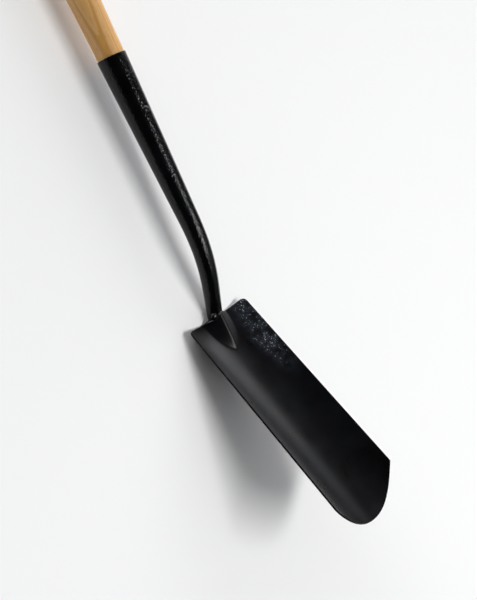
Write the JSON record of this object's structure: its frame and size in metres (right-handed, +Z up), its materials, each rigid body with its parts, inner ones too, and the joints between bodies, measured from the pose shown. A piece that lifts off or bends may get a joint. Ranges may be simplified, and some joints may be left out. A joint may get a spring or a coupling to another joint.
{
  "type": "drain spade",
  "caption": "Long-handled drain spade: narrow dished steel blade with a round point and a raised frog, swan-neck tube socket, and a turned ash handle riveted in it.",
  "frame": {"origin": "centre of the spade's length and width on the floor it lies on, at its lowest points: the heel of the blade and the butt of the handle", "axes": "+X from the butt of the handle towards the point of the blade, +Y across the blade, +Z up, out of the blade's hollow face"},
  "size_m": [1.7099, 0.1304, 0.1444],
  "materials": {
    "black_painted_steel": "gloss black paint over rolled steel",
    "black_painted_weld": "gloss black paint over a weld bead",
    "black_painted_rivet": "black paint, thin on the head",
    "ash_wood": "satin varnished ash"
  },
  "bodies": {
    "root": {"blade": "black_painted_steel", "socket": "black_painted_steel", "neck_weld": "black_painted_weld", "handle": "ash_wood", "rivet": "black_painted_rivet"}
  },
  "joints": []
}
